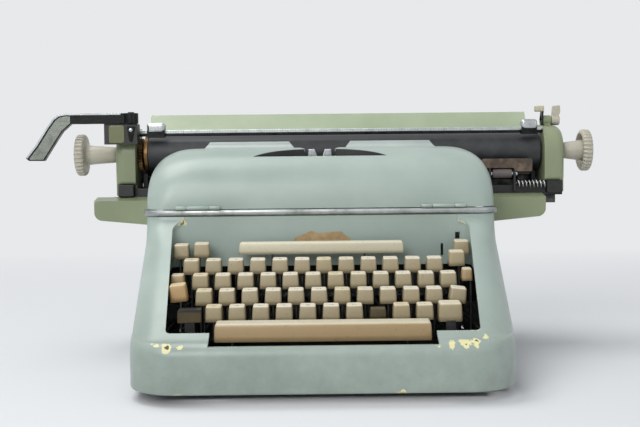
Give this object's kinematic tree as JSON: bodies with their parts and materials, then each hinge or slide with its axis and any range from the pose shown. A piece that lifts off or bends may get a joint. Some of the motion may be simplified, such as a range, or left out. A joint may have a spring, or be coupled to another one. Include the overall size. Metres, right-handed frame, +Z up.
{
  "type": "manual typewriter",
  "caption": "Manual office typewriter with a sloped keyboard, hinged hood and a long sliding carriage with platen, knobs, paper bail and return lever.",
  "frame": {"origin": "on the table under the middle of the machine's box, carriage at its pictured place", "axes": "+X to the typist's right, +Y to the back, +Z up"},
  "size_m": [0.5504, 0.335, 0.238],
  "materials": {
    "case_enamel": "worn gloss enamel",
    "olive_enamel": "worn gloss enamel",
    "trim_metal": "pitted satin",
    "bright_steel": "worn bright plate",
    "works_steel": "oiled",
    "black_paint": "satin black",
    "rusted_steel": "rusted",
    "platen_rubber": "hard, worn",
    "foot_rubber": "matt",
    "ribbon_cloth": "inked",
    "ivory_plastic": "yellowed"
  },
  "bodies": {
    "frame": {"lower_case": "case_enamel", "trim_strip": "trim_metal", "back_panel": "case_enamel", "rail_cover_left": "olive_enamel", "rail_cover_right": "olive_enamel", "chassis": "black_paint", "feet": "foot_rubber", "base_plate": "black_paint", "key_fulcrum": "works_steel", "key_comb": "works_steel", "type_guide": "bright_steel", "carriage_rail": "works_steel", "ribbon": "ribbon_cloth", "hood_hinge_pins": "bright_steel"},
    "carriage": {"carriage_bed": "black_paint", "end_plate_left": "olive_enamel", "end_plate_right": "olive_enamel", "paper_pan": "works_steel", "stop_plate": "rusted_steel", "release_spring": "bright_steel", "margin_rack": "works_steel", "line_space_housing": "black_paint"},
    "platen_set": {"platen": "platen_rubber", "platen_shaft": "bright_steel", "ratchet_wheel": "works_steel", "knob_left": "ivory_plastic", "knob_right": "ivory_plastic"},
    "type_basket": {"type_segment": "works_steel", "typebars": "works_steel"},
    "mainspring_drum_body": {"mainspring_drum": "works_steel"},
    "spool_left_body": {"spool_left": "works_steel"},
    "spool_right_body": {"spool_right": "works_steel"},
    "hood_body": {"hood": "case_enamel"},
    "return_lever_body": {"return_lever": "bright_steel"},
    "paper_table_body": {"paper_table": "olive_enamel"},
    "bail_scale_body": {"bail_scale": "bright_steel"},
    "paper_release_lever_body": {"paper_release_lever": "ivory_plastic"},
    "carriage_release_lever_body": {"carriage_release_lever": "ivory_plastic"},
    "feed_roller_body": {"feed_roller": "platen_rubber"},
    "side_roller_body": {"side_roller": "bright_steel"},
    "margin_stop_left_body": {"margin_stop_left": "works_steel"},
    "margin_stop_right_body": {"margin_stop_right": "works_steel"},
    "space_bar_body": {"space_bar": "ivory_plastic"},
    "tab_bar_body": {"tab_bar": "ivory_plastic"},
    "shift_left_body": {"shift_left": "black_paint"},
    "shift_right_body": {"shift_right": "ivory_plastic"},
    "shift_lock_body": {"shift_lock": "ivory_plastic"},
    "margin_key_body": {"margin_key": "ivory_plastic"},
    "tab_set_key_body": {"tab_set_key": "ivory_plastic"},
    "tab_clear_key_body": {"tab_clear_key": "ivory_plastic"},
    "backspace_key_body": {"backspace_key": "ivory_plastic"},
    "margin_release_key_body": {"margin_release_key": "ivory_plastic"},
    "ribbon_key_body": {"ribbon_key": "ivory_plastic"},
    "digit_keys_left_body": {"digit_keys_left": "ivory_plastic"},
    "digit_keys_right_body": {"digit_keys_right": "ivory_plastic"},
    "upper_keys_left_body": {"upper_keys_left": "ivory_plastic"},
    "upper_keys_right_body": {"upper_keys_right": "ivory_plastic"},
    "home_keys_left_body": {"home_keys_left": "ivory_plastic"},
    "home_keys_right_body": {"home_keys_right": "ivory_plastic"},
    "lower_keys_body": {"lower_keys": "ivory_plastic"}
  },
  "joints": [
    {"name": "hood_hinge", "type": "hinge", "parent": "frame", "child": "hood_body", "pos_m": [0.00675, -0.0197, 0.1446], "axis": [1, 0, 0], "range_deg": [0, 75]},
    {"name": "carriage_slide", "type": "slide", "parent": "frame", "child": "carriage", "axis": [1, 0, 0], "range_m": [-0.17, 0.14]},
    {"name": "platen_turn", "type": "hinge", "parent": "carriage", "child": "platen_set", "pos_m": [0.02675, 0.0885, 0.193], "axis": [1, 0, 0], "continuous": true},
    {"name": "return_swing", "type": "hinge", "parent": "carriage", "child": "return_lever_body", "pos_m": [-0.17425, 0.0575, 0.2228], "axis": [0, 0, -1], "range_deg": [-30, 0], "stiffness_Nm_per_rad": 0.4, "springref_deg": 17.19},
    {"name": "table_tilt", "type": "hinge", "parent": "carriage", "child": "paper_table_body", "pos_m": [0.02675, 0.1165, 0.199], "axis": [-1, 0, 0], "range_deg": [0, 18]},
    {"name": "bail_lift", "type": "hinge", "parent": "carriage", "child": "bail_scale_body", "pos_m": [0.02675, 0.1045, 0.214], "axis": [-1, 0, 0], "range_deg": [0, 25], "stiffness_Nm_per_rad": 0.1, "springref_deg": -28.65},
    {"name": "paper_release", "type": "hinge", "parent": "carriage", "child": "paper_release_lever_body", "pos_m": [0.23765, 0.0925, 0.223], "axis": [1, 0, 0], "range_deg": [0, 25]},
    {"name": "carriage_release", "type": "hinge", "parent": "carriage", "child": "carriage_release_lever_body", "pos_m": [0.22885, 0.0925, 0.223], "axis": [1, 0, 0], "range_deg": [0, 15], "stiffness_Nm_per_rad": 0.05, "springref_deg": -17.19},
    {"name": "side_roller_turn", "type": "hinge", "parent": "carriage", "child": "side_roller_body", "pos_m": [0.18375, 0.0645, 0.171], "axis": [1, 0, 0], "continuous": true},
    {"name": "margin_left_slide", "type": "slide", "parent": "carriage", "child": "margin_stop_left_body", "axis": [1, 0, 0], "range_m": [-0.025, 0.12]},
    {"name": "margin_right_slide", "type": "slide", "parent": "carriage", "child": "margin_stop_right_body", "axis": [1, 0, 0], "range_m": [-0.12, 0.025]},
    {"name": "feed_turn", "type": "hinge", "parent": "carriage", "child": "feed_roller_body", "pos_m": [0.02675, 0.0985, 0.17074], "axis": [1, 0, 0], "continuous": true},
    {"name": "drum_turn", "type": "hinge", "parent": "frame", "child": "mainspring_drum_body", "pos_m": [-0.08925, 0.1335, 0.108], "axis": [0, 0, 1], "range_deg": [-420, 420]},
    {"name": "spool_left_turn", "type": "hinge", "parent": "frame", "child": "spool_left_body", "pos_m": [-0.10125, 0.0185, 0.146], "axis": [0, 0, 1], "continuous": true},
    {"name": "spool_right_turn", "type": "hinge", "parent": "frame", "child": "spool_right_body", "pos_m": [0.11475, 0.0185, 0.146], "axis": [0, 0, 1], "continuous": true},
    {"name": "basket_shift", "type": "slide", "parent": "frame", "child": "type_basket", "axis": [0, 0, 1], "range_m": [-0.0061, 0]},
    {"name": "space_bar_press", "type": "hinge", "parent": "frame", "child": "space_bar_body", "pos_m": [0.00675, 0.1205, 0.044], "axis": [1, 0, 0], "range_deg": [0, 3.2], "stiffness_Nm_per_rad": 1.8, "springref_deg": -11.46},
    {"name": "tab_bar_press", "type": "hinge", "parent": "frame", "child": "tab_bar_body", "pos_m": [0.00675, 0.1205, 0.044], "axis": [1, 0, 0], "range_deg": [0, 3.2], "stiffness_Nm_per_rad": 1.8, "springref_deg": -11.46},
    {"name": "shift_left_press", "type": "hinge", "parent": "frame", "child": "shift_left_body", "pos_m": [0.00675, 0.1205, 0.044], "axis": [1, 0, 0], "range_deg": [0, 3.2], "stiffness_Nm_per_rad": 2.4, "springref_deg": -11.46},
    {"name": "shift_right_press", "type": "hinge", "parent": "frame", "child": "shift_right_body", "pos_m": [0.00675, 0.1205, 0.044], "axis": [1, 0, 0], "range_deg": [0, 3.2], "stiffness_Nm_per_rad": 1.2, "springref_deg": -11.46},
    {"name": "shift_lock_press", "type": "hinge", "parent": "frame", "child": "shift_lock_body", "pos_m": [0.00675, 0.1205, 0.044], "axis": [1, 0, 0], "range_deg": [0, 3.2], "stiffness_Nm_per_rad": 0.6, "springref_deg": -11.46},
    {"name": "margin_key_press", "type": "hinge", "parent": "frame", "child": "margin_key_body", "pos_m": [0.00675, 0.1205, 0.044], "axis": [1, 0, 0], "range_deg": [0, 3.2], "stiffness_Nm_per_rad": 0.6, "springref_deg": -11.46},
    {"name": "tab_set_key_press", "type": "hinge", "parent": "frame", "child": "tab_set_key_body", "pos_m": [0.00675, 0.1205, 0.044], "axis": [1, 0, 0], "range_deg": [0, 3.2], "stiffness_Nm_per_rad": 0.6, "springref_deg": -11.46},
    {"name": "tab_clear_key_press", "type": "hinge", "parent": "frame", "child": "tab_clear_key_body", "pos_m": [0.00675, 0.1205, 0.044], "axis": [1, 0, 0], "range_deg": [0, 3.2], "stiffness_Nm_per_rad": 0.6, "springref_deg": -11.46},
    {"name": "backspace_key_press", "type": "hinge", "parent": "frame", "child": "backspace_key_body", "pos_m": [0.00675, 0.1205, 0.044], "axis": [1, 0, 0], "range_deg": [0, 3.2], "stiffness_Nm_per_rad": 0.6, "springref_deg": -11.46},
    {"name": "margin_release_key_press", "type": "hinge", "parent": "frame", "child": "margin_release_key_body", "pos_m": [0.00675, 0.1205, 0.044], "axis": [1, 0, 0], "range_deg": [0, 3.2], "stiffness_Nm_per_rad": 0.6, "springref_deg": -11.46},
    {"name": "ribbon_key_press", "type": "hinge", "parent": "frame", "child": "ribbon_key_body", "pos_m": [0.00675, 0.1205, 0.044], "axis": [1, 0, 0], "range_deg": [0, 3.2], "stiffness_Nm_per_rad": 0.6, "springref_deg": -11.46},
    {"name": "digit_keys_left_press", "type": "hinge", "parent": "frame", "child": "digit_keys_left_body", "pos_m": [0.00675, 0.1205, 0.044], "axis": [1, 0, 0], "range_deg": [0, 3.2], "stiffness_Nm_per_rad": 3.6, "springref_deg": -11.46},
    {"name": "digit_keys_right_press", "type": "hinge", "parent": "frame", "child": "digit_keys_right_body", "pos_m": [0.00675, 0.1205, 0.044], "axis": [1, 0, 0], "range_deg": [0, 3.2], "stiffness_Nm_per_rad": 3.6, "springref_deg": -11.46},
    {"name": "upper_keys_left_press", "type": "hinge", "parent": "frame", "child": "upper_keys_left_body", "pos_m": [0.00675, 0.1205, 0.044], "axis": [1, 0, 0], "range_deg": [0, 3.2], "stiffness_Nm_per_rad": 3.6, "springref_deg": -11.46},
    {"name": "upper_keys_right_press", "type": "hinge", "parent": "frame", "child": "upper_keys_right_body", "pos_m": [0.00675, 0.1205, 0.044], "axis": [1, 0, 0], "range_deg": [0, 3.2], "stiffness_Nm_per_rad": 3.6, "springref_deg": -11.46},
    {"name": "home_keys_left_press", "type": "hinge", "parent": "frame", "child": "home_keys_left_body", "pos_m": [0.00675, 0.1205, 0.044], "axis": [1, 0, 0], "range_deg": [0, 3.2], "stiffness_Nm_per_rad": 3.6, "springref_deg": -11.46},
    {"name": "home_keys_right_press", "type": "hinge", "parent": "frame", "child": "home_keys_right_body", "pos_m": [0.00675, 0.1205, 0.044], "axis": [1, 0, 0], "range_deg": [0, 3.2], "stiffness_Nm_per_rad": 3.6, "springref_deg": -11.46},
    {"name": "lower_keys_press", "type": "hinge", "parent": "frame", "child": "lower_keys_body", "pos_m": [0.00675, 0.1205, 0.044], "axis": [1, 0, 0], "range_deg": [0, 2.3], "stiffness_Nm_per_rad": 6, "springref_deg": -11.46}
  ],
  "couplings": [
    {"joint": "spool_right_turn", "follows": "spool_left_turn", "ratio": 1},
    {"joint": "drum_turn", "follows": "carriage_slide", "rad_per_m": -35.714},
    {"joint": "shift_right_press", "follows": "shift_left_press", "ratio": 1},
    {"joint": "basket_shift", "follows": "shift_left_press", "m_per_rad": -0.1}
  ]
}
